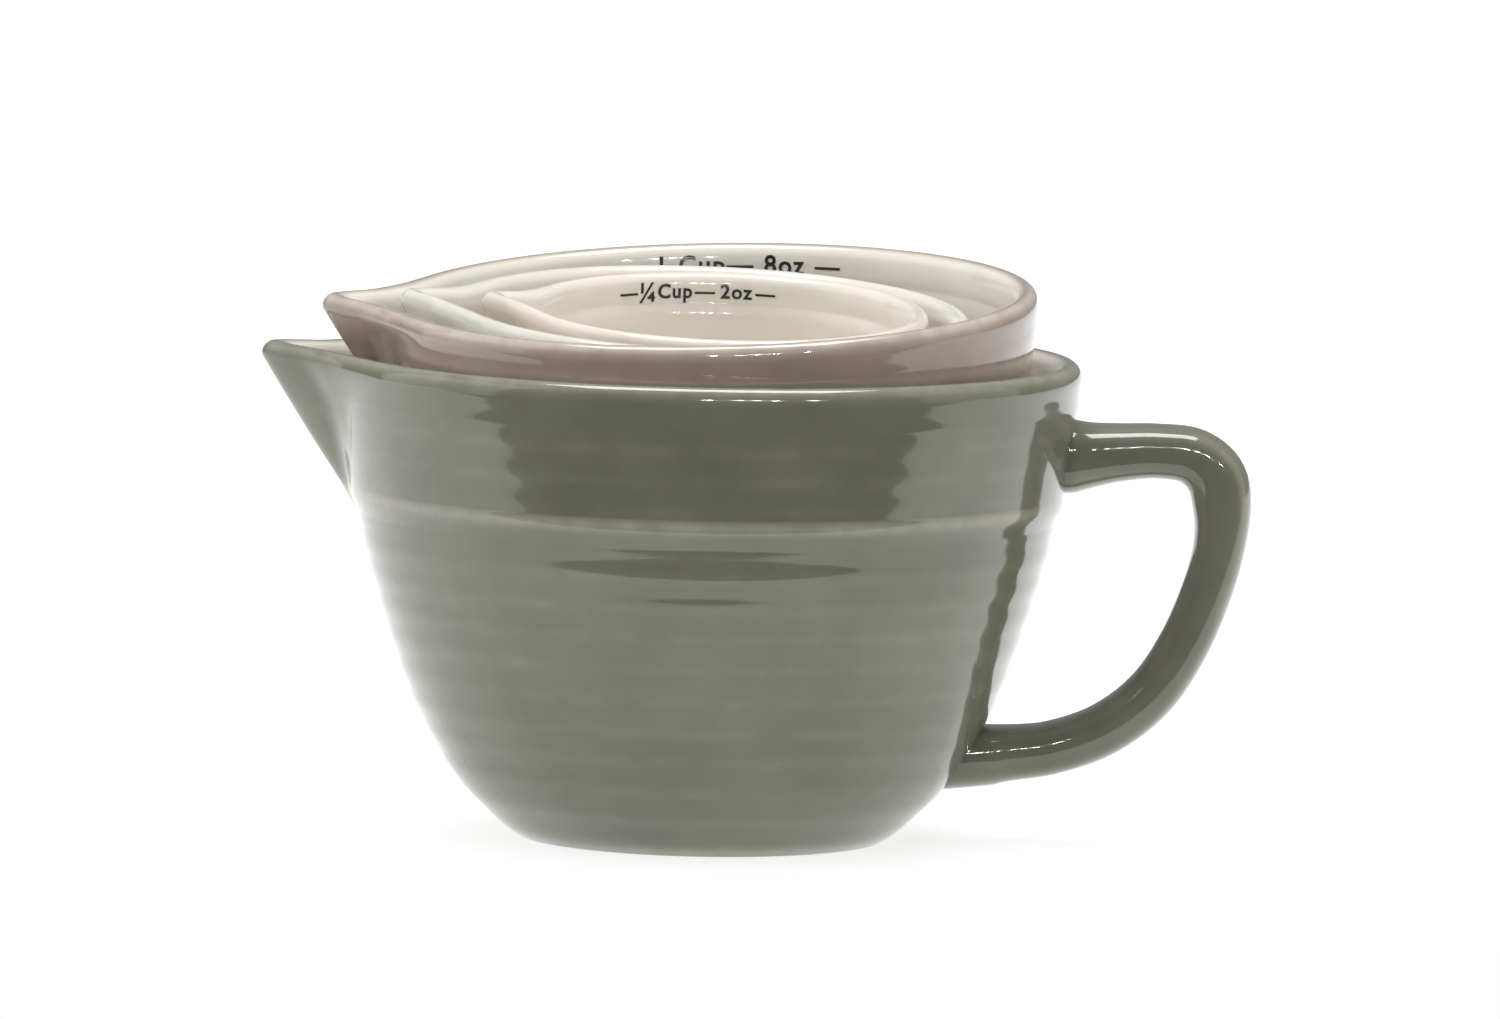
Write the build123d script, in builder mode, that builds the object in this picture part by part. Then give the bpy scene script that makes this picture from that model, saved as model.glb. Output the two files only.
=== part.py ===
from build123d import *
import os
from math import sin, cos, radians

# Set of four stoneware measuring cups, nested in each other.  Millimetres, +Z up.
# The large cup stands on the table with the middle of its foot at the origin, its pouring
# spout towards -X and its handle towards +X.  The smaller cups lean a little towards -Y.

# ---- driving dimensions ----
# Each cup: seat = middle of the foot, lean = tilt about X and about Y in degrees.
# reach = radius of the spout's tip as a share of the rim; mark = depth of the capacity mark.
LARGE = dict(seat=(0, 0, 0), lean=(0, 0), rim=59.6, height=77.2, foot=29.5, wall=4.8,
             lip=4.8, collar=22.4, fullness=1.0, reach=1.204, mark=4.7)
ONE = dict(seat=(1.9, 1.2, 35.3), lean=(4.5, -2.1), rim=52.2, height=52.2, foot=27.0, wall=4.7,
           lip=4.2, collar=19.6, fullness=0.72, reach=1.19, mark=4.7)
HALF = dict(seat=(-0.9, 2.9, 42.4), lean=(4.6, 1.2), rim=41.7, height=42.6, foot=21.5, wall=4.2,
            lip=3.8, collar=15.6, fullness=0.9, reach=1.19, mark=3.6)
QUARTER = dict(seat=(1.7, 2.5, 47.1), lean=(5.0, 0.9), rim=32.6, height=38.2, foot=17.0, wall=3.7,
               lip=3.4, collar=12.4, fullness=0.95, reach=1.19, mark=2.7)

# Bowl side between foot and shoulder: (share of the way out, share of the way up).
BOWL = [(0.21, 0.10), (0.51, 0.285), (0.77, 0.587)]
BOWL_LEAN = [46, 31, 19]        # lean of the wall from upright at those places, degrees
SHOULDER = 0.938                # radius under the shoulder, as a share of the rim radius
SHOULDER_LEAN = 14              # lean of the wall there, degrees
LEDGE = 0.960                   # radius at the foot of the collar, as a share of the rim radius
LEDGE_RISE = 3.2                # height of the step between bowl and collar
LEDGE_INSIDE = 0.3              # the same step inside sits this share of the wall higher
FLOOR_INSIDE = 0.86             # radius of the flat floor inside, as a share of the foot radius

# Pouring spout, as shares of the rim radius.
SPOUT_HALF_ANGLE = 20           # where the spout's sides leave the rim, degrees
SPOUT_TIP_RADIUS = 0.045
SPOUT_RISE = 1.0                # the tip stands this much above the rim, mm
SPOUT_DROP = 0.9                # its underside starts this share of the collar below the rim
SPOUT_WALL = 0.85               # clay left under the channel, as a share of the cup's wall
SPOUT_SIZE = (1.0, 0.35)        # size of the spout's top and bottom sections
CHANNEL_SIZE = (0.8, 0.2)       # and of the channel inside it

CUT_ABOVE = 3                   # how far the cut for the hollow goes on above the lip
CHANNEL_CUT_ABOVE = 1           # and the cut for the channel above the spout

# Handle of the large cup, in the XZ plane.
HANDLE_WIDTH = 14.0
HANDLE_THICK = 8.3
HANDLE_EDGE = 3.6               # corner radius of its section
FLARE_START = 0.5               # a root's flare starts this much inside the handle's section
HANDLE_LINE = [(50, 61.9), (83.5, 63.9), (81.9, 45), (73.6, 25.5), (58, 15.6), (34, 12.4)]
HANDLE_BENDS = [9.5, 70, 30, 40]
TOP_ROOT = dict(outer=(70, 63.1), inner=(55, 62.2), thick=13.4, width=20)
LOW_ROOT = dict(outer=(58, 15.6), inner=(32, 12.2), thick=12.4, width=18)

# Fired-on capacity marks: dashes on the far inner wall, as (first angle, sweep) in degrees
# around the cup's axis from +X.
MARK_THICK = 0.14
MARK_HEIGHT = 0.45
LARGE_DASHES = [(72, 3.2), (84, 3.2), (104, 3.2)]
ONE_DASHES = [(66, 3.6), (82, 3.6), (112, 3.6)]
HALF_DASHES = [(70, 4.2), (86, 4.2), (110, 4.2)]
QUARTER_DASHES = [(74, 6.0), (92, 4.5), (121, 6.0)]


def foot_plane(cup):
    """Plane of a cup's foot: origin in its middle, z up the cup's axis."""
    forward, side = cup["lean"]
    upward = Vector(sin(radians(side)), -sin(radians(forward)), 1).normalized()
    return Plane(origin=cup["seat"], x_dir=Vector(0, 1, 0).cross(upward), z_dir=upward)


def radial_plane(foot, angle):
    """Upright plane from a cup's axis outwards at an angle: x runs out, y runs up the axis."""
    outwards = foot.x_dir.rotate(Axis((0, 0, 0), foot.z_dir), angle)
    return Plane(origin=foot.origin, x_dir=outwards, z_dir=outwards.cross(foot.z_dir))


def side_points(cup, depth):
    """Points of the bowl's side from foot to shoulder, a given depth inside the outer face."""
    top = cup["height"] - cup["collar"] - LEDGE_RISE
    reach = cup["rim"] * SHOULDER - cup["foot"]
    shares = [(out ** cup["fullness"], up) for out, up in BOWL] + [(1.0, 1.0)]
    points = []
    for (out, up), lean in zip(shares, BOWL_LEAN + [SHOULDER_LEAN]):
        radius = cup["foot"] + reach * out - depth * cos(radians(lean))
        points.append((radius, top * up + depth * sin(radians(lean))))
    return points


def inner_ledge(cup):
    """Radius and height of the corner inside the cup where the collar starts."""
    return cup["rim"] * LEDGE - cup["wall"], cup["height"] - cup["collar"] + cup["wall"] * LEDGE_INSIDE


def inner_radius(cup, height):
    """Radius of the collar's inner face at a height above the foot."""
    radius, low = inner_ledge(cup)
    share = (height - low) / (cup["height"] - cup["lip"] / 2 - low)
    return radius + (cup["rim"] - cup["lip"] - radius) * share


def body_outline(cup, plane):
    """Half section of the cup filled solid, from its axis to the outer face."""
    height = cup["height"]
    lip = cup["lip"] / 2
    side = side_points(cup, 0)
    low = height - cup["collar"]
    with BuildSketch(plane) as outline:
        with BuildLine():
            Line((0, 0), (cup["foot"], 0))
            Spline((cup["foot"], 0), *side, tangents=[(1, 0.35), (0.22, 1)])
            Line(side[-1], (cup["rim"] * LEDGE, low))
            Line((cup["rim"] * LEDGE, low), (cup["rim"], height - lip))
            RadiusArc((cup["rim"], height - lip), (cup["rim"] - lip, height), -lip)
            Line((cup["rim"] - lip, height), (0, height))
            Line((0, height), (0, 0))
        make_face()
    return outline.sketch


def hollow_outline(cup, plane):
    """Half section of the space inside the cup, open upwards past the lip."""
    height = cup["height"]
    wall = cup["wall"]
    lip = cup["lip"] / 2
    side = side_points(cup, wall)
    inner_edge = cup["rim"] - cup["lip"]
    ledge = inner_ledge(cup)
    top = height + CUT_ABOVE
    with BuildSketch(plane) as outline:
        with BuildLine():
            Line((0, wall), (cup["foot"] * FLOOR_INSIDE, wall))
            Spline((cup["foot"] * FLOOR_INSIDE, wall), *side, tangents=[(1, 0.1), (0.22, 1)])
            Line(side[-1], ledge)
            Line(ledge, (inner_edge, height - lip))
            RadiusArc((inner_edge, height - lip), (inner_edge + lip, height), lip)
            Line((inner_edge + lip, height), (inner_edge + lip, top))
            Line((inner_edge + lip, top), (0, top))
            Line((0, top), (0, wall))
        make_face()
    return outline.sketch


def spout_section(cup, plane, tip, root):
    """Pointed level section of the spout: rounded tip at -X, flat back inside the wall."""
    half = cup["rim"] * sin(radians(SPOUT_HALF_ANGLE)) * root
    back = -tip + cup["rim"] * (cup["reach"] - cos(radians(SPOUT_HALF_ANGLE))) * root
    nose = cup["rim"] * SPOUT_TIP_RADIUS * root
    with BuildSketch(plane) as section:
        with BuildLine():
            Line((-tip + nose, nose), (back, half))
            Line((back, half), (back + nose, half))
            Line((back + nose, half), (back + nose, -half))
            Line((back + nose, -half), (back, -half))
            Line((back, -half), (-tip + nose, -nose))
            ThreePointArc((-tip + nose, -nose), (-tip, 0), (-tip + nose, nose))
        make_face()
    return section.sketch


def thrown_cup(cup):
    """One cup: flat foot, round bowl, stepped shoulder, collar, rolled lip and spout."""
    foot = foot_plane(cup)
    axis = Axis(foot.origin, foot.z_dir)
    section = radial_plane(foot, 0)
    tip = cup["rim"] * cup["reach"]
    top = cup["height"] + SPOUT_RISE
    low = cup["height"] - cup["collar"] * SPOUT_DROP
    ledge = cup["rim"] * LEDGE
    wall = cup["wall"] * SPOUT_WALL
    above = CHANNEL_CUT_ABOVE
    with BuildPart() as body:
        add(body_outline(cup, section))
        revolve(axis=axis)
        add(spout_section(cup, foot.offset(top), tip, SPOUT_SIZE[0]))
        add(spout_section(cup, foot.offset(low), ledge, SPOUT_SIZE[1]))
        loft()
        add(hollow_outline(cup, section))
        revolve(axis=axis, mode=Mode.SUBTRACT)
        add(spout_section(cup, foot.offset(top + above), tip - wall + above, CHANNEL_SIZE[0]))
        add(spout_section(cup, foot.offset(low + wall), ledge - wall, CHANNEL_SIZE[1]))
        loft(mode=Mode.SUBTRACT)
    return body.part


def capacity_mark(cup, dashes):
    """Dashes fired into the glaze of the far inner wall, each a separate thin curved strip."""
    foot = foot_plane(cup)
    axis = Axis(foot.origin, foot.z_dir)
    level = cup["height"] - cup["mark"]
    radius = inner_radius(cup, level)
    with BuildPart() as mark:
        for first, sweep_angle in dashes:
            with BuildSketch(radial_plane(foot, first)) as strip:
                with Locations((radius, level)):
                    Rectangle(MARK_THICK * 2, MARK_HEIGHT)
            revolve(axis=axis, revolution_arc=sweep_angle)
    return mark.part


def filled_cup(cup):
    """The cup's outer form without its spout, filled solid."""
    foot = foot_plane(cup)
    with BuildPart() as form:
        add(body_outline(cup, radial_plane(foot, 0)))
        revolve(axis=Axis(foot.origin, foot.z_dir))
    return form.part


def handle_section(start, towards, thick, width):
    """Rounded section of the handle at its start, square to the run towards a second point."""
    run = Vector(towards[0] - start[0], 0, towards[1] - start[1])
    place = Plane(origin=(start[0], 0, start[1]), x_dir=(0, 1, 0), z_dir=run)
    with BuildSketch(place) as section:
        RectangleRounded(width, thick, HANDLE_EDGE)
    return section.sketch


def root_sections(root):
    """Thin and flared section of a handle root, on one straight run into the cup's wall."""
    inner = root["inner"]
    outer = root["outer"]
    beyond = (2 * outer[0] - inner[0], 2 * outer[1] - inner[1])
    thin = handle_section(outer, beyond, HANDLE_THICK - FLARE_START, HANDLE_WIDTH - FLARE_START)
    return thin, handle_section(inner, outer, root["thick"], root["width"])


# ---- large cup: body, handle and mark ----
with BuildPart() as two_cup_body:
    add(thrown_cup(LARGE))
two_cup_body.part.label = "two_cup_body"

with BuildPart() as two_cup_handle:
    with BuildLine(Plane.XZ):
        FilletPolyline(*HANDLE_LINE, radius=HANDLE_BENDS)
    add(handle_section(HANDLE_LINE[0], HANDLE_LINE[1], HANDLE_THICK, HANDLE_WIDTH))
    sweep()
    for flare in (TOP_ROOT, LOW_ROOT):
        add(root_sections(flare))
        loft()
    add(filled_cup(LARGE), mode=Mode.SUBTRACT)
two_cup_handle.part.label = "two_cup_handle"

with BuildPart() as two_cup_mark:
    add(capacity_mark(LARGE, LARGE_DASHES))
two_cup_mark.part.label = "two_cup_mark"

# ---- smaller cups, each a body and its mark ----
with BuildPart() as one_cup_body:
    add(thrown_cup(ONE))
one_cup_body.part.label = "one_cup_body"

with BuildPart() as one_cup_mark:
    add(capacity_mark(ONE, ONE_DASHES))
one_cup_mark.part.label = "one_cup_mark"

with BuildPart() as half_cup_body:
    add(thrown_cup(HALF))
half_cup_body.part.label = "half_cup_body"

with BuildPart() as half_cup_mark:
    add(capacity_mark(HALF, HALF_DASHES))
half_cup_mark.part.label = "half_cup_mark"

with BuildPart() as quarter_cup_body:
    add(thrown_cup(QUARTER))
quarter_cup_body.part.label = "quarter_cup_body"

with BuildPart() as quarter_cup_mark:
    add(capacity_mark(QUARTER, QUARTER_DASHES))
quarter_cup_mark.part.label = "quarter_cup_mark"

# ---- one STEP file for each piece ----
os.makedirs("parts", exist_ok=True)
export_step(two_cup_body.part, "parts/two_cup_body.step")
export_step(two_cup_handle.part, "parts/two_cup_handle.step")
export_step(two_cup_mark.part, "parts/two_cup_mark.step")
export_step(one_cup_body.part, "parts/one_cup_body.step")
export_step(one_cup_mark.part, "parts/one_cup_mark.step")
export_step(half_cup_body.part, "parts/half_cup_body.step")
export_step(half_cup_mark.part, "parts/half_cup_mark.step")
export_step(quarter_cup_body.part, "parts/quarter_cup_body.step")
export_step(quarter_cup_mark.part, "parts/quarter_cup_mark.step")
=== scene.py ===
from math import cos, pi, radians, sin

import bpy
import numpy as np
from mathutils import Matrix, Quaternion, Vector


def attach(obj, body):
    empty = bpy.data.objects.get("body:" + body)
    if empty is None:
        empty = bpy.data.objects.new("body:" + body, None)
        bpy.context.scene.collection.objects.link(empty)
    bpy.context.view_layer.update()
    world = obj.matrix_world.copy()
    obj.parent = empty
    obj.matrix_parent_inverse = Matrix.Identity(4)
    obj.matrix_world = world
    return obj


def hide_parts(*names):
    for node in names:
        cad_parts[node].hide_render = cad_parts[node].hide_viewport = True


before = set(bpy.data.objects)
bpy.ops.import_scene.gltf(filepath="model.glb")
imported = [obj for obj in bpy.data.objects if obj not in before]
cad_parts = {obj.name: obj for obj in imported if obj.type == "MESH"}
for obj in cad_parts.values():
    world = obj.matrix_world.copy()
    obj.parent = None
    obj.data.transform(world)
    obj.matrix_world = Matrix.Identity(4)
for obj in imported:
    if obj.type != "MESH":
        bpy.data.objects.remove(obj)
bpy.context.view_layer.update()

# Four nested stoneware measuring cups.  Lengths in millimetres until a mesh is made.
MM = 0.001

# ---- cups: the CAD model's driving dimensions ----
# mark = how far each capacity mark lies below the rim.  For ONE and QUARTER it follows the
# photograph, so those marks are drawn higher than the CAD dashes.  ring = throwing ring's height.
LARGE = dict(name="two_cup", seat=(0, 0, 0), lean=(0, 0), rim=59.6, height=77.2, foot=29.5,
             wall=4.8, lip=4.8, collar=22.4, fullness=1.0, reach=1.204, mark=4.7, ring=0.066)
ONE = dict(name="one_cup", seat=(1.9, 1.2, 35.3), lean=(4.5, -2.1), rim=52.2, height=52.2,
           foot=27.0, wall=4.7, lip=4.2, collar=19.6, fullness=0.72, reach=1.19, mark=3.3,
           ring=0.045)
HALF = dict(name="half_cup", seat=(-0.9, 2.9, 42.4), lean=(4.6, 1.2), rim=41.7, height=42.6,
            foot=21.5, wall=4.2, lip=3.8, collar=15.6, fullness=0.9, reach=1.19, mark=3.6,
            ring=0.04)
QUARTER = dict(name="quarter_cup", seat=(1.7, 2.5, 47.1), lean=(5.0, 0.9), rim=32.6, height=38.2,
               foot=17.0, wall=3.7, lip=3.4, collar=12.4, fullness=0.95, reach=1.19, mark=2.5,
               ring=0.035)

# Bowl side between foot and shoulder: (share of the way out, share of the way up).
BOWL = [(0.0, 0.0), (0.068, 0.023), (0.227, 0.097), (0.367, 0.17), (0.511, 0.283),
        (0.659, 0.432), (0.769, 0.583), (0.864, 0.733), (0.949, 0.882), (1.0, 1.0)]
SHOULDER = 0.938                # radius at the top of the bowl, as a share of the rim
LEDGE = 0.960                   # and just above the ledge, where the collar starts
LEDGE_RISE = 3.2                # height of the ledge between them
HOLLOW = 0.9                    # depth of the hollow under the foot
RING_PITCH = 5.1                # between throwing rings, measured up the wall
RING_START = 7.85               # one ring's crest lies this far below the collar

# Rolled lip: (depth in from the rim radius, depth below the top), as shares of the lip's width.
LIP = [(0.075, 1.45), (0.055, 1.12), (0.02, 0.80), (0.0, 0.50), (0.08, 0.20), (0.27, 0.03),
       (0.45, 0.0), (0.68, 0.07), (0.88, 0.28), (0.98, 0.58), (1.04, 0.95), (1.07, 1.35)]

# Spout.
SPOUT_FLANK = radians(40)       # half angle of the pointed spout, seen from above
SPOUT_TIP = 0.045               # rounding of the tip, radians around the cup's axis
SPOUT_SLOPE = 0.67              # how far the tip draws in for each mm down
CHANNEL_SLOPE = 0.80            # the same for the channel inside
SPOUT_TOP = 2.0                 # the tip is full this far below the rim
SPOUT_FLARE = 0.16              # soft flare beside the spout at the lip, share of the rim
SPOUT_CREASE = 0.09             # and lower down, where the spout meets the collar in a crease
CHANNEL_BLEND = 0.12            # and inside, along the channel
SPOUT_RISE = 1.0                # the tip stands this much higher than the rim
SPOUT_RISE_FROM = 0.8           # share of the height where that rise starts
SPOUT_ROOT = radians(9)         # the flare is full this far round from the tip
SPOUT_NOSE = 0.3                # and this share of it is left at the tip

ROUND = 320                     # columns around a cup
CROWDING = 0.62                 # how much closer together they stand near the spout

# Points along each part of a cup's section.
UNDER_STEPS = 40
SIDE_STEPS = 110
LEDGE_STEPS = 16
COLLAR_STEPS = 46
LIP_STEPS = 44
STEP_STEPS = 60
CURVE_STEPS = 800               # fine steps from which a smooth line's even ones are taken


def smooth_line(points, count):
    """Points along a smooth curve through a few given ones, evenly spaced along it."""
    given = np.array(points, float)
    chord = np.hypot(*np.diff(given, axis=0).T)
    place = np.concatenate([[0], np.cumsum(np.sqrt(chord))])
    slope = np.gradient(given, place, axis=0)
    fine = np.linspace(0, place[-1], CURVE_STEPS)
    seg = np.clip(np.searchsorted(place, fine, side="right") - 1, 0, len(given) - 2)
    width = (place[seg + 1] - place[seg])[:, None]
    t = ((fine - place[seg])[:, None]) / width
    start = given[seg] * (1 + 2 * t) * (1 - t) ** 2 + slope[seg] * width * t * (1 - t) ** 2
    end = given[seg + 1] * t * t * (3 - 2 * t) + slope[seg + 1] * width * t * t * (t - 1)
    curve = start + end
    length = np.concatenate([[0], np.cumsum(np.hypot(*np.diff(curve, axis=0).T))])
    wanted = np.linspace(0, length[-1], count)
    return np.column_stack([np.interp(wanted, length, curve[:, i]) for i in range(2)])


def ease(x):
    """Smooth step from 0 to 1, for x from 0 to 1."""
    return x * x * (3 - 2 * x)


def bump(x, centre, width):
    """Smooth bell of height 1 at the centre."""
    return np.exp(-((x - centre) / width) ** 2)


def bowl_side(cup):
    """Outer face of the bowl from foot to shoulder, as (radius, height)."""
    top = cup["height"] - cup["collar"] - LEDGE_RISE
    reach = cup["rim"] * SHOULDER - cup["foot"]
    points = [(cup["foot"] + reach * out ** cup["fullness"], top * up) for out, up in BOWL]
    return smooth_line(points, SIDE_STEPS)


def lip_line(cup):
    """Rolled lip from the collar's outer face over the top to its inner face."""
    points = [(cup["rim"] - cup["lip"] * depth, cup["height"] - cup["lip"] * below)
              for depth, below in LIP]
    return smooth_line(points, LIP_STEPS)


def throwing_rings(cup, line, low, high):
    """Soft rings left by the potter's fingers: radius change and crest strength per point."""
    height = line[:, 1]
    pitch = RING_PITCH * (0.75 + 0.25 * cup["rim"] / LARGE["rim"])
    fade = np.clip((height - low) / 4, 0, 1) * np.clip((high - height) / 2.5, 0, 1)
    anchor = cup["height"] - cup["collar"] - RING_START
    wave = np.cos(2 * pi * (height - anchor) / pitch + 0.25 * np.sin(height * 0.31))
    return cup["ring"] * fade * wave, np.clip(wave, 0, 1) * fade


def cup_profile(cup):
    """Whole section of a cup, from the middle of its underside over the lip to its floor.

    Columns: radius, height, tip radius of the spout, flare beside it, inside (0 or 1),
    glaze edge (pale thin glaze; on the lip's upper outer face partly a painted highlight),
    ring crest.
    """
    height = cup["height"]
    rim = cup["rim"]
    wall = cup["wall"]
    low = height - cup["collar"]
    tip = rim * cup["reach"]
    foot = cup["foot"]

    under = smooth_line([(0, HOLLOW), (foot * 0.5, HOLLOW), (foot * 0.8, 0.8),
                         (foot * 0.87, 0.1), (foot * 0.95, 0.0), (foot, 0.0)], UNDER_STEPS)
    side = bowl_side(cup)
    ring, crest = throwing_rings(cup, side, 3, low - 3)
    ledge = smooth_line([side[-1], (rim * 0.9445, low - 2.3), (rim * 0.957, low - 0.6),
                         (rim * LEDGE, low + 0.3), (rim * (LEDGE + 0.001), low + 1.2)],
                        LEDGE_STEPS)[1:]
    lip = lip_line(cup)
    collar = smooth_line([ledge[-1], (ledge[-1] + lip[0]) / 2, lip[0]], COLLAR_STEPS)[1:-1]
    collar_ring, collar_crest = throwing_rings(cup, collar, low + 0.5, height - 4)

    # the inner face follows the outer one, a wall's thickness in
    run = np.gradient(side, axis=0)
    normal = np.column_stack([run[:, 1], -run[:, 0]]) / np.hypot(*run.T)[:, None]
    inner = side - wall * normal
    inner = inner[inner[:, 1] > wall + 2.0]
    ledge_in = [(rim * LEDGE - wall - 0.5, low - 0.6), (rim * LEDGE - wall, low + 1.6)]
    step_in = smooth_line([lip[-1], ((lip[-1][0] + ledge_in[1][0]) / 2, (height + low) / 2),
                           ledge_in[1], ledge_in[0], tuple(inner[-1] - [0.2, 1.2])],
                          STEP_STEPS)[1:]
    bowl_in = smooth_line([tuple(step_in[-1])] + [tuple(p) for p in inner[-6::-14]]
                          + [(foot * 0.88, wall + 0.3), (foot * 0.72, wall), (foot * 0.4, wall),
                             (0, wall)], SIDE_STEPS)[1:]

    parts = []

    def keep(line, tips, flare, inside, edge, crest):
        ones = np.ones(len(line))
        columns = [ones * value for value in (tips, flare, inside, edge, crest)]
        parts.append(np.column_stack([line] + columns))

    def flare_at(line):
        near = np.clip((line[:, 1] - height + 1.9 * cup["lip"]) / (1.5 * cup["lip"]), 0, 1)
        near = ease(near)
        return rim * (SPOUT_CREASE + (SPOUT_FLARE - SPOUT_CREASE) * near)

    def tip_at(line):
        return tip - (height - SPOUT_TOP - line[:, 1]) * SPOUT_SLOPE

    keep(under, 0, 1, 0, bump(under[:, 0], foot * 0.93, foot * 0.07), 0)
    foot_edge = bump(side[:, 1], 0.4, 1.2)
    side[:, 0] += ring
    keep(side[1:], 0, 1, 0, foot_edge[1:], crest[1:])
    keep(ledge, tip_at(ledge), rim * SPOUT_CREASE, 0, bump(ledge[:, 1], low + 0.2, 1.1), 0)
    collar[:, 0] += collar_ring * 0.16
    keep(collar, tip_at(collar), flare_at(collar), 0, 0, collar_crest)
    across = (rim - lip[:, 0]) / cup["lip"]
    over = np.clip((across - 0.5) * 4, 0, 1)
    climbing = np.arange(len(lip)) < np.argmin(across)
    level = np.where(climbing, 0, across.clip(0) * cup["lip"] * (1 + 0.35 * over))
    drawn = tip - (height - SPOUT_TOP - lip[:, 1]).clip(0) * SPOUT_SLOPE * (1 - over) - level
    lip_flare = flare_at(lip) * (1 - over) + over * (
        rim * (CHANNEL_BLEND + (SPOUT_FLARE - CHANNEL_BLEND) * np.clip(1.6 - 1.6 * across, 0, 1)))
    # pale band on the lip's upper outer face: partly thin glaze over the roll, partly a painted
    # highlight of the light from above
    rolled = np.clip((lip[:, 1] - height + 0.62 * cup["lip"]) / (0.4 * cup["lip"]), 0, 1)
    keep(lip, drawn, lip_flare, over, bump(across, 0.20, 0.22) * rolled * 0.85, 0)
    channel = drawn[-1] - (lip[-1][1] - step_in[:, 1]) * CHANNEL_SLOPE
    keep(step_in, channel, rim * CHANNEL_BLEND, 1, 0, 0)
    keep(bowl_in, 0, 1, 1, 0, 0)
    return np.vstack(parts)


def column_angles():
    """Angles around the cup from the spout, closer together near it."""
    even = np.linspace(-pi, pi, ROUND, endpoint=False)
    return even - CROWDING * np.sin(even)


def smooth_max(a, b, blend):
    """The larger of two values, with a soft change from one to the other."""
    near = np.clip(blend - np.abs(a - b), 0, None) / blend
    return np.maximum(a, b) + near * near * blend / 4


def cup_points(cup, profile, angles):
    """Grid of points: one row for each profile point, one column for each angle."""
    turn = np.sqrt(angles ** 2 + SPOUT_TIP ** 2) - SPOUT_TIP
    wedge = sin(SPOUT_FLANK) / np.sin(np.clip(SPOUT_FLANK + turn, 0, pi / 2))
    radius = profile[:, 0][:, None]
    tips = profile[:, 2][:, None]
    aside = ease(np.clip(turn / SPOUT_ROOT, 0, 1))
    flare = profile[:, 3][:, None] * (SPOUT_NOSE + (1 - SPOUT_NOSE) * aside)
    grown = smooth_max(radius, tips * wedge[None, :], flare)
    grown = np.where(tips > 0, grown, radius)
    share = ((grown - radius) / (cup["rim"] * (cup["reach"] - 1))).clip(0, 1)
    climb = ((profile[:, 1] - cup["height"] * SPOUT_RISE_FROM)
             / (cup["height"] * (1 - SPOUT_RISE_FROM)))
    rise = SPOUT_RISE * share * np.clip(climb, 0, 1)[:, None]
    x = -grown * np.cos(angles)[None, :]
    y = -grown * np.sin(angles)[None, :]
    z = profile[:, 1][:, None] + rise
    return np.stack([x, y, np.broadcast_to(z, x.shape)], axis=-1)


def cup_matrix(cup):
    """Place of a cup: its foot's middle and its lean."""
    forward, side = cup["lean"]
    up = Vector((sin(radians(side)), -sin(radians(forward)), 1)).normalized()
    across = Vector((0, 1, 0)).cross(up).normalized()
    turned = Matrix((across, up.cross(across), up)).transposed().to_4x4()
    return Matrix.Translation(Vector(cup["seat"])) @ turned


def place(points, matrix):
    """Points moved by a matrix and turned into metres."""
    turned = points.reshape(-1, 3) @ np.array(matrix.to_3x3()).T + np.array(matrix.translation)
    return turned * MM


def grid_faces(rows, columns):
    """Quads of a grid of points that closes around."""
    faces = []
    for row in range(rows - 1):
        for column in range(columns):
            nearby = (column + 1) % columns
            base = row * columns
            faces.append((base + column, base + nearby,
                          base + columns + nearby, base + columns + column))
    return faces


def make_piece(name, points, faces, attributes, material):
    """Smooth mesh object with named values at its points."""
    mesh = bpy.data.meshes.new(name)
    mesh.from_pydata([tuple(p) for p in points], [], faces)
    for key, values in attributes.items():
        layer = mesh.attributes.new(key, "FLOAT", "POINT")
        layer.data.foreach_set("value", np.asarray(values, dtype=np.float32))
    mesh.polygons.foreach_set("use_smooth", [True] * len(mesh.polygons))
    mesh.materials.append(material)
    mesh.update()
    piece = bpy.data.objects.new(name, mesh)
    bpy.context.scene.collection.objects.link(piece)
    return piece


def make_cup(cup, material):
    """One glazed cup as a single closed mesh."""
    profile = cup_profile(cup)
    angles = column_angles()
    grid = cup_points(cup, profile[1:-1], angles)
    rows = len(grid)
    centre = np.array([[0, 0, profile[0, 1]], [0, 0, profile[-1, 1]]])
    points = place(np.vstack([grid.reshape(-1, 3), centre]), cup_matrix(cup))
    faces = grid_faces(rows, ROUND)
    first = rows * ROUND
    top = (rows - 1) * ROUND
    for column in range(ROUND):
        nearby = (column + 1) % ROUND
        faces.append((first, nearby, column))
        faces.append((first + 1, top + column, top + nearby))
    values = {}
    for key, index in (("inside", 4), ("edge", 5), ("crest", 6)):
        spread = np.repeat(profile[1:-1, index], ROUND)
        values[key] = np.concatenate([spread, profile[[0, -1], index]])
    return make_piece(cup["name"] + "_glazed", points, faces, values, material)


# ---- handle of the large cup ----
HANDLE_LINE = [(53, 61.9), (60, 62.3), (66, 62.9), (72, 63.2), (77.7, 62.4), (81.3, 59.2),
               (82.4, 53.6), (81.9, 47.4), (80.1, 40.6), (76.6, 32.0), (71.6, 24.2),
               (64.6, 18.5), (56, 15.2), (48, 14.1), (40, 13.2), (33, 12.5)]
HANDLE_THICK = 8.3
HANDLE_WIDTH = 14.0
HANDLE_SQUARE = 0.72            # power that squares its oval section; 1 is an oval
HANDLE_ROUND = 48               # points around it
HANDLE_STEPS = 150              # and rings along it
TOP_EMBED = 5.5                 # length of its upper end that lies within the cup's wall
LOW_EMBED = 13.0                # and of its lower end
ROOT_DEPTH = 2.2                # its ends stop this deep in the clay
TOP_SWELL = (3.4, 5.5, 5, 4.5)  # flare at its upper end: thickness, reach, width, reach
LOW_SWELL = (1.2, 4, 4, 5)      # the same at its lower end
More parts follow.
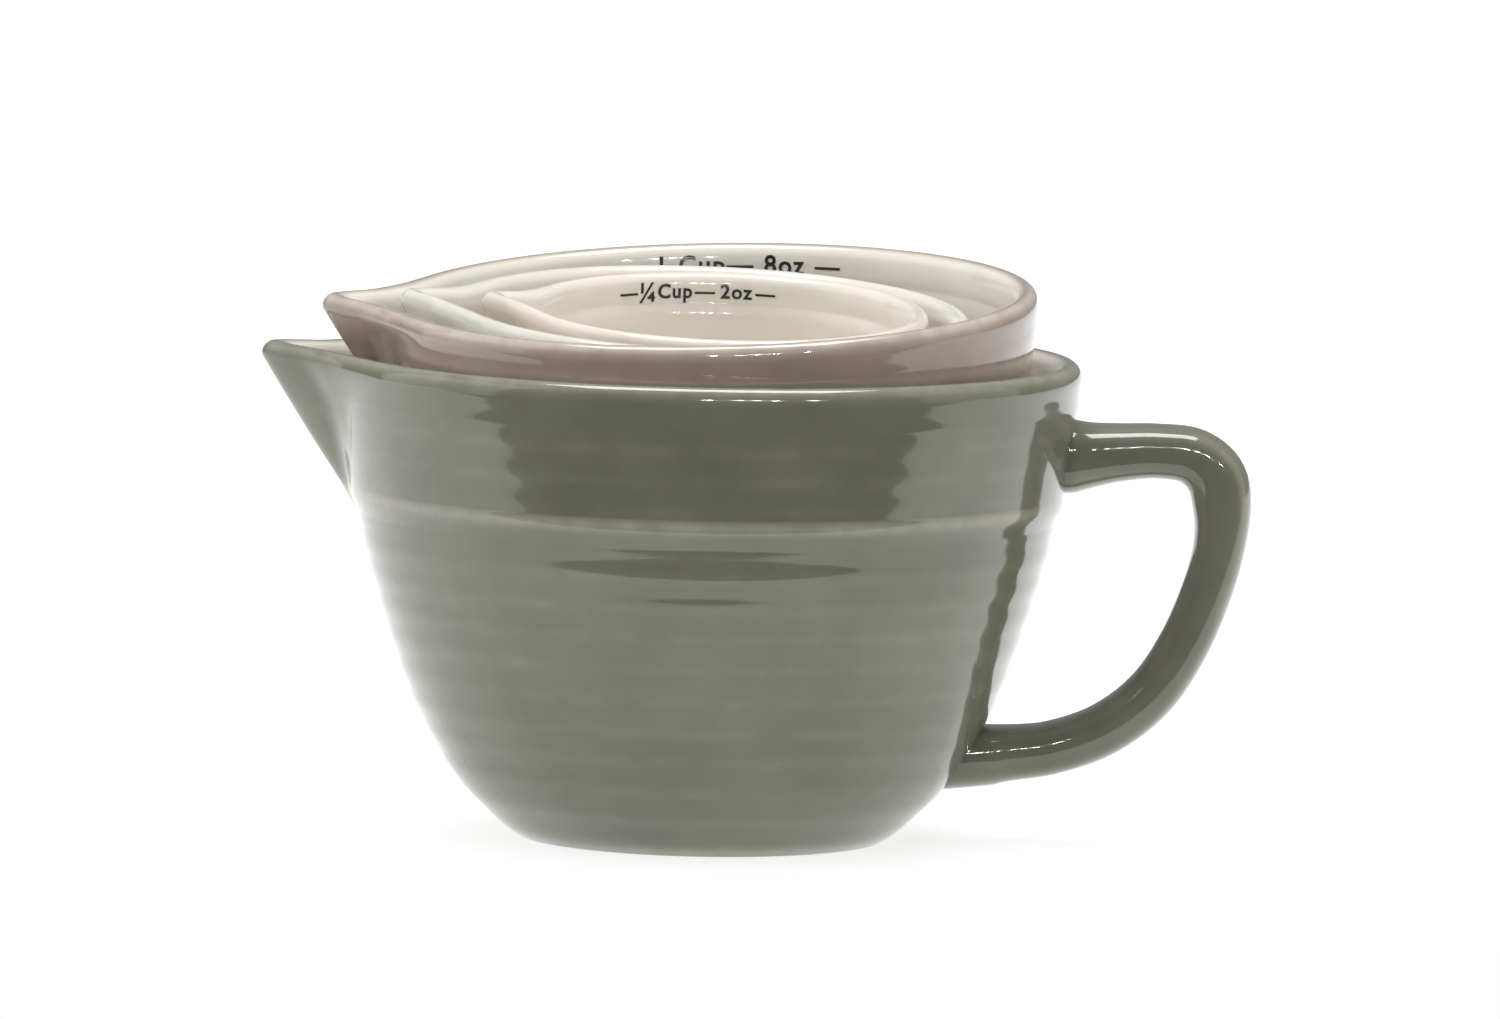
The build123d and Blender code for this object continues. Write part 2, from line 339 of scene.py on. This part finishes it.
CORNER_SWELL = (1.6, 31, 7)     # thicker corner: how much, how far along, over what length


def wall_radius(cup, height):
    """Radius of the cup's outer face at a height above the foot."""
    side = bowl_side(cup)
    line = np.vstack([side, [cup["rim"] * LEDGE, cup["height"] - cup["collar"]],
                      [cup["rim"], cup["height"]]])
    return np.interp(height, line[:, 1], line[:, 0])


def handle_points():
    """Rings of points along the handle, flared where it joins the cup."""
    line = smooth_line(HANDLE_LINE, HANDLE_STEPS)
    run = np.gradient(line, axis=0)
    run /= np.hypot(*run.T)[:, None]
    out = np.column_stack([run[:, 1], -run[:, 0]])
    travel = np.concatenate([[0], np.cumsum(np.hypot(*np.diff(line, axis=0).T))])
    thick = HANDLE_THICK
    width = HANDLE_WIDTH
    for away_from, swell in ((travel - TOP_EMBED, TOP_SWELL),
                             (travel[-1] - travel - LOW_EMBED, LOW_SWELL)):
        thick = thick + swell[0] * np.exp(-away_from.clip(0) / swell[1])
        width = width + swell[2] * np.exp(-away_from.clip(0) / swell[3])
    thick = thick + CORNER_SWELL[0] * bump(travel, *CORNER_SWELL[1:])
    around = np.linspace(0, 2 * pi, HANDLE_ROUND, endpoint=False)
    side = np.sign(np.cos(around)) * np.abs(np.cos(around)) ** HANDLE_SQUARE
    lift = np.sign(np.sin(around)) * np.abs(np.sin(around)) ** HANDLE_SQUARE
    across = side[None, :] * width[:, None] / 2
    away = lift[None, :] * thick[:, None] / 2
    x = line[:, 0][:, None] + out[:, 0][:, None] * away
    z = line[:, 1][:, None] + out[:, 1][:, None] * away
    x = np.maximum(x, np.sqrt(((wall_radius(LARGE, z) - ROOT_DEPTH) ** 2 - across ** 2).clip(0)))
    corner = np.abs(np.cos(around) * np.sin(around)) * 2
    edge = np.broadcast_to((corner ** 6)[None, :], x.shape)
    return np.stack([x, across, z], axis=-1), edge


def make_handle(material):
    """The luted handle, from inside the wall at the top to inside the wall below."""
    grid, edge = handle_points()
    rows = len(grid)
    faces = grid_faces(rows, HANDLE_ROUND)
    faces.append(tuple(range(HANDLE_ROUND))[::-1])
    faces.append(tuple(range((rows - 1) * HANDLE_ROUND, rows * HANDLE_ROUND)))
    points = grid.reshape(-1, 3) * MM
    blank = np.zeros(len(points))
    values = {"inside": blank, "edge": edge.reshape(-1) * 0.5, "crest": blank}
    return make_piece("two_cup_handle_glazed", points, faces, values, material)


# ---- materials ----
def glaze(name, outside, pale_glaze_and_sheen, inside, speck):
    """Glossy stoneware glaze: darker body, thin pale edges (on the lip partly a painted
    highlight), cream inside, fine iron specks.
    """
    material = bpy.data.materials.new(name)
    material.use_nodes = True
    tree = material.node_tree
    nodes = tree.nodes
    link = tree.links.new
    shader = nodes["Principled BSDF"]
    shader.inputs["IOR"].default_value = 1.5
    shader.inputs["Coat Weight"].default_value = 0.35
    shader.inputs["Coat Roughness"].default_value = 0.02
    place_of = nodes.new("ShaderNodeTexCoord").outputs["Object"]

    def value_of(key):
        node = nodes.new("ShaderNodeAttribute")
        node.attribute_name = key
        return node.outputs["Fac"]

    def noise(scale, detail):
        node = nodes.new("ShaderNodeTexNoise")
        node.inputs["Scale"].default_value = scale
        node.inputs["Detail"].default_value = detail
        link(place_of, node.inputs["Vector"])
        return node.outputs["Fac"]

    def band(source, low, high, to_low, to_high):
        node = nodes.new("ShaderNodeMapRange")
        node.inputs["From Min"].default_value = low
        node.inputs["From Max"].default_value = high
        node.inputs["To Min"].default_value = to_low
        node.inputs["To Max"].default_value = to_high
        link(source, node.inputs["Value"])
        return node.outputs["Result"]

    def maths(kind, a, b):
        node = nodes.new("ShaderNodeMath")
        node.operation = kind
        node.use_clamp = True
        for socket, source in zip(node.inputs, (a, b)):
            if isinstance(source, (int, float)):
                socket.default_value = source
            else:
                link(source, socket)
        return node.outputs["Value"]

    def blend(share, a, b):
        node = nodes.new("ShaderNodeMix")
        node.data_type = "RGBA"
        link(share, node.inputs["Factor"])
        for socket, source in ((node.inputs[6], a), (node.inputs[7], b)):
            if isinstance(source, tuple):
                socket.default_value = (*source, 1)
            else:
                link(source, socket)
        return node.outputs[2]

    mottle = band(noise(70, 3), 0.35, 0.65, 0.0, 1.0)
    dark = tuple(c * 0.90 for c in outside)
    light = tuple(min(1, c * 1.08) for c in outside)
    body = blend(mottle, dark, light)
    streak = maths("MULTIPLY", value_of("crest"), band(noise(160, 4), 0.35, 0.70, 0.0, 0.16))
    body = blend(streak, body, pale_glaze_and_sheen)
    # pale edges: thin glaze at the foot, ledge and handle corners; on the lip's upper outer face
    # partly a painted highlight
    edge = maths("MULTIPLY", value_of("edge"), band(noise(220, 3), 0.3, 0.7, 0.55, 1.0))
    body = blend(edge, body, pale_glaze_and_sheen)
    cloud = band(noise(45, 3), 0.35, 0.65, 0.0, 1.0)
    lining = blend(cloud, tuple(c * 0.965 for c in inside), inside)
    colour = blend(value_of("inside"), body, lining)
    specks = band(noise(1500, 1), 0.70, 0.78, 0.0, speck)
    colour = blend(specks, colour, tuple(c * 0.45 for c in outside))
    link(colour, shader.inputs["Base Color"])
    link(band(noise(420, 4), 0.3, 0.7, 0.07, 0.13), shader.inputs["Roughness"])
    ripple = nodes.new("ShaderNodeBump")
    ripple.inputs["Strength"].default_value = 0.05
    ripple.inputs["Distance"].default_value = 0.0004
    link(noise(260, 2), ripple.inputs["Height"])
    link(ripple.outputs["Normal"], shader.inputs["Normal"])
    return material


def ink():
    """Black mark fired into the glaze."""
    material = bpy.data.materials.new("mark_ink_fired")
    material.use_nodes = True
    nodes = material.node_tree.nodes
    link = material.node_tree.links.new
    shader = nodes["Principled BSDF"]
    shader.inputs["Roughness"].default_value = 0.22
    grain = nodes.new("ShaderNodeTexNoise")
    grain.inputs["Scale"].default_value = 2600
    link(nodes.new("ShaderNodeTexCoord").outputs["Object"], grain.inputs["Vector"])
    tones = nodes.new("ShaderNodeValToRGB")
    tones.color_ramp.elements[0].color = (0.006, 0.006, 0.008, 1)
    tones.color_ramp.elements[1].color = (0.030, 0.030, 0.034, 1)
    link(grain.outputs["Fac"], tones.inputs["Fac"])
    link(tones.outputs["Color"], shader.inputs["Base Color"])
    return material


CREAM = (0.70, 0.66, 0.585)
GREEN_GLAZE = glaze("green_glaze_fired", (0.124, 0.127, 0.091), (0.28, 0.27, 0.215), CREAM, 0.10)
TAUPE_GLAZE = glaze("taupe_glaze_fired", (0.27, 0.215, 0.180), (0.55, 0.49, 0.42), CREAM, 0.08)
SAGE_GLAZE = glaze("pale_sage_glaze_fired", (0.58, 0.575, 0.515), (0.66, 0.63, 0.57), CREAM, 0.06)
BLUSH_GLAZE = glaze("blush_glaze_fired", (0.66, 0.59, 0.52), (0.70, 0.65, 0.58), CREAM, 0.06)
INK = ink()


# ---- marks ----
MARK_BOLD = 0.075               # strokes are made this much fatter
MARK_THICK = 0.06               # half the letters' thickness
MARK_PROUD = 0.05               # their middle stands this far in from the wall
MARK_SPACING = 1.12             # between letters, as a share of the font's own
MARK_MIDDLE = 0.3               # middle of a dash above the baseline, as a share of its size


def inner_face_radius(cup, height):
    """Radius of the collar's inner face at a height above the foot."""
    profile = cup_profile(cup)
    inside = profile[(profile[:, 4] > 0.99) & (profile[:, 1] > cup["height"] - cup["collar"])]
    order = np.argsort(inside[:, 1])
    return np.interp(height, inside[order, 1], inside[order, 0])


def flat_word(wording, size):
    """Mesh points and faces of a word set from x = 0, its baseline at y = 0."""
    curve = bpy.data.curves.new("word", "FONT")
    curve.body = wording
    curve.size = size
    curve.space_character = MARK_SPACING
    curve.extrude = MARK_THICK
    curve.offset = MARK_BOLD
    curve.resolution_u = 3
    text = bpy.data.objects.new("word", curve)
    bpy.context.scene.collection.objects.link(text)
    bpy.context.view_layer.update()
    mesh = bpy.data.meshes.new_from_object(text)
    bpy.data.objects.remove(text)
    return np.array([v.co[:] for v in mesh.vertices]), [tuple(p.vertices) for p in mesh.polygons]


def make_mark(cup, words, shift):
    """Measure mark on the far inner wall, moved round towards the handle by shift."""
    pieces = []
    faces = []
    count = 0
    reach = 0
    for wording, size, gap, drop in words:
        points, word_faces = flat_word(wording, size)
        points[:, 0] += reach + gap - points[:, 0].min()
        points[:, 1] -= drop
        reach = points[:, 0].max()
        faces += [tuple(count + i for i in face) for face in word_faces]
        count += len(points)
        pieces.append(points)
    flat = np.vstack(pieces)
    height = cup["height"] - cup["mark"] + flat[:, 1] - words[1][1] * MARK_MIDDLE
    radius = inner_face_radius(cup, height) - MARK_PROUD - flat[:, 2]
    angle = pi / 2 - (flat[:, 0] - reach / 2 + shift) / radius
    points = np.column_stack([radius * np.cos(angle), radius * np.sin(angle), height])
    piece = make_piece(cup["name"] + "_mark_fired", place(points, cup_matrix(cup)), faces, {}, INK)
    piece.data.polygons.foreach_set("use_smooth", [False] * len(faces))
    return piece


def finish_piece(piece, body, node):
    """Hang a piece on its body and let it stand for its CAD node."""
    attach(piece, body)
    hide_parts(node)


finish_piece(make_cup(LARGE, GREEN_GLAZE), "two_cup", "two_cup_body")
finish_piece(make_handle(GREEN_GLAZE), "two_cup", "two_cup_handle")
finish_piece(make_cup(ONE, TAUPE_GLAZE), "one_cup", "one_cup_body")
finish_piece(make_cup(HALF, SAGE_GLAZE), "half_cup", "half_cup_body")
finish_piece(make_cup(QUARTER, BLUSH_GLAZE), "quarter_cup", "quarter_cup_body")
# Each mark's words, as (wording, size, gap before, drop).
TWO_CUP_WORDS = [("2", 4.2, 0, 0), ("Cup—", 4.2, 1.3, 0), ("16oz", 4.2, 1.3, 0),
                 ("—", 4.2, 1.3, 0)]
ONE_CUP_WORDS = [("1", 4.2, 0, 0), ("Cup—", 4.2, 2.6, 0), ("8oz", 4.2, 1.8, 0),
                 ("—", 4.2, 1.8, 0)]
HALF_CUP_WORDS = [("—", 3.4, 0, 0), ("½", 4.7, 0.3, 0.5), ("Cup", 3.4, 0.5, 0),
                  ("—", 3.4, 0.5, 0), ("4oz", 3.4, 0.9, 0), ("—", 3.4, 0.5, 0)]
QUARTER_CUP_WORDS = [("—", 3.1, 0, 0), ("¼", 4.3, 0.3, 0.5), ("Cup", 3.2, 0.5, 0),
                     ("—", 3.1, 0.4, 0), ("2oz", 3.2, 0.9, 0), ("—", 3.1, 0.5, 0)]
for cup, words, shift in ((LARGE, TWO_CUP_WORDS, 0), (ONE, ONE_CUP_WORDS, 6.4),
                          (HALF, HALF_CUP_WORDS, 0), (QUARTER, QUARTER_CUP_WORDS, -5.0)):
    finish_piece(make_mark(cup, words, shift), cup["name"], cup["name"] + "_mark")


# ---- stage: white floor, soft studio light, long lens ----
FLOOR_HALF = 9.0                # half the floor's width, in metres like all of the stage
FLOOR_FRONT = -0.125            # its front edge
VIEW_WIDTH = 0.240              # width that the picture shows at the cups
VIEW_TILT = radians(1.17)       # roll of the photograph's camera
SENSOR = 36
FRONT_LAMP_TURNS = (0, 9.4, 15, 21, 33)     # degrees round from the front


def make_floor():
    """Glowing white table top that ends just in front of the cups."""
    mesh = bpy.data.meshes.new("floor")
    corners = [(-FLOOR_HALF, FLOOR_FRONT, 0), (FLOOR_HALF, FLOOR_FRONT, 0),
               (FLOOR_HALF, FLOOR_HALF, 0), (-FLOOR_HALF, FLOOR_HALF, 0)]
    mesh.from_pydata(corners, [], [(0, 1, 2, 3)])
    material = bpy.data.materials.new("floor_white")
    material.use_nodes = True
    shader = material.node_tree.nodes["Principled BSDF"]
    shader.inputs["Base Color"].default_value = (0.40, 0.40, 0.40, 1)
    shader.inputs["Roughness"].default_value = 0.6
    shader.inputs["Specular IOR Level"].default_value = 0.1
    shader.inputs["Emission Color"].default_value = (1, 1, 1, 1)
    shader.inputs["Emission Strength"].default_value = 0.75
    mesh.materials.append(material)
    floor = bpy.data.objects.new("floor", mesh)
    bpy.context.scene.collection.objects.link(floor)


def softbox(name, place_at, aim, width, height, power):
    """Rectangular lamp facing a point."""
    lamp = bpy.data.lights.new(name, "AREA")
    lamp.shape = "RECTANGLE"
    lamp.size = width
    lamp.size_y = height
    lamp.energy = power
    holder = bpy.data.objects.new(name, lamp)
    holder.location = place_at
    holder.rotation_euler = (Vector(aim) - Vector(place_at)).to_track_quat("-Z", "Y").to_euler()
    holder.visible_camera = False
    bpy.context.scene.collection.objects.link(holder)
    return holder


def make_world():
    """White backdrop, near-white light on the object, and a much dimmer room reflected in it."""
    world = bpy.data.worlds.new("studio")
    world.use_nodes = True
    tree = world.node_tree
    link = tree.links.new
    split = tree.nodes.new("ShaderNodeSeparateXYZ")
    link(tree.nodes.new("ShaderNodeTexCoord").outputs["Generated"], split.inputs[0])

    def room(front, back, start, end):
        """Background that runs from one level in front to another behind."""
        turn = tree.nodes.new("ShaderNodeMapRange")
        turn.interpolation_type = "SMOOTHSTEP"
        turn.inputs["From Min"].default_value = start
        turn.inputs["From Max"].default_value = end
        turn.inputs["To Min"].default_value = front
        turn.inputs["To Max"].default_value = back
        link(split.outputs["Y"], turn.inputs["Value"])
        tone = tree.nodes.new("ShaderNodeBackground")
        link(turn.outputs["Result"], tone.inputs["Color"])
        return tone.outputs[0]

    path = tree.nodes.new("ShaderNodeLightPath")
    last = room(0.80, 1.0, -0.8, 0.6)
    glossy = room(0.10, 0.25, 0.58, 0.76)
    for ray, seen in (("Is Glossy Ray", glossy), ("Is Camera Ray", room(1.0, 1.0, 0, 1))):
        chosen = tree.nodes.new("ShaderNodeMixShader")
        link(path.outputs[ray], chosen.inputs[0])
        link(last, chosen.inputs[1])
        link(seen, chosen.inputs[2])
        last = chosen.outputs[0]
    link(last, tree.nodes["World Output"].inputs["Surface"])
    bpy.context.scene.world = world


def make_camera():
    """Long lens in front of the cups and a little above them, as in the photograph."""
    aim = Vector((0.0069, 0, 0.0525))
    stand = Vector((0.0069, -2.4, 0.292))
    camera = bpy.data.cameras.new("camera")
    camera.sensor_width = SENSOR
    camera.lens = SENSOR * (aim - stand).length / VIEW_WIDTH
    camera.clip_end = 60
    holder = bpy.data.objects.new("camera", camera)
    turn = (aim - stand).to_track_quat("-Z", "Y") @ Quaternion((0, 0, 1), VIEW_TILT)
    holder.location = stand
    holder.rotation_euler = turn.to_euler()
    bpy.context.scene.collection.objects.link(holder)
    bpy.context.scene.camera = holder


make_floor()
make_world()
make_camera()
softbox("softbox_left", (-1.44, 0.12, 0.62), (0, 0.12, 0.30), 1.5, 1.5, 5.5)
softbox("softbox_right", (1.44, -0.02, 0.62), (0, -0.02, 0.30), 1.15, 1.5, 2.6)
softbox("softbox_top", (0, 0.2, 1.6), (0, 0, 0.05), 1.2, 0.7, 22)
for number, turn in enumerate(FRONT_LAMP_TURNS):
    lamp_at = (2 * sin(radians(turn)), -2 * cos(radians(turn)), 0.75)
    spark = softbox(f"front_lamp_{number}", lamp_at, (0, 0, 0.07), 0.09, 0.05, 2.0)
    spark.visible_diffuse = False
bpy.context.scene.view_settings.view_transform = "Standard"
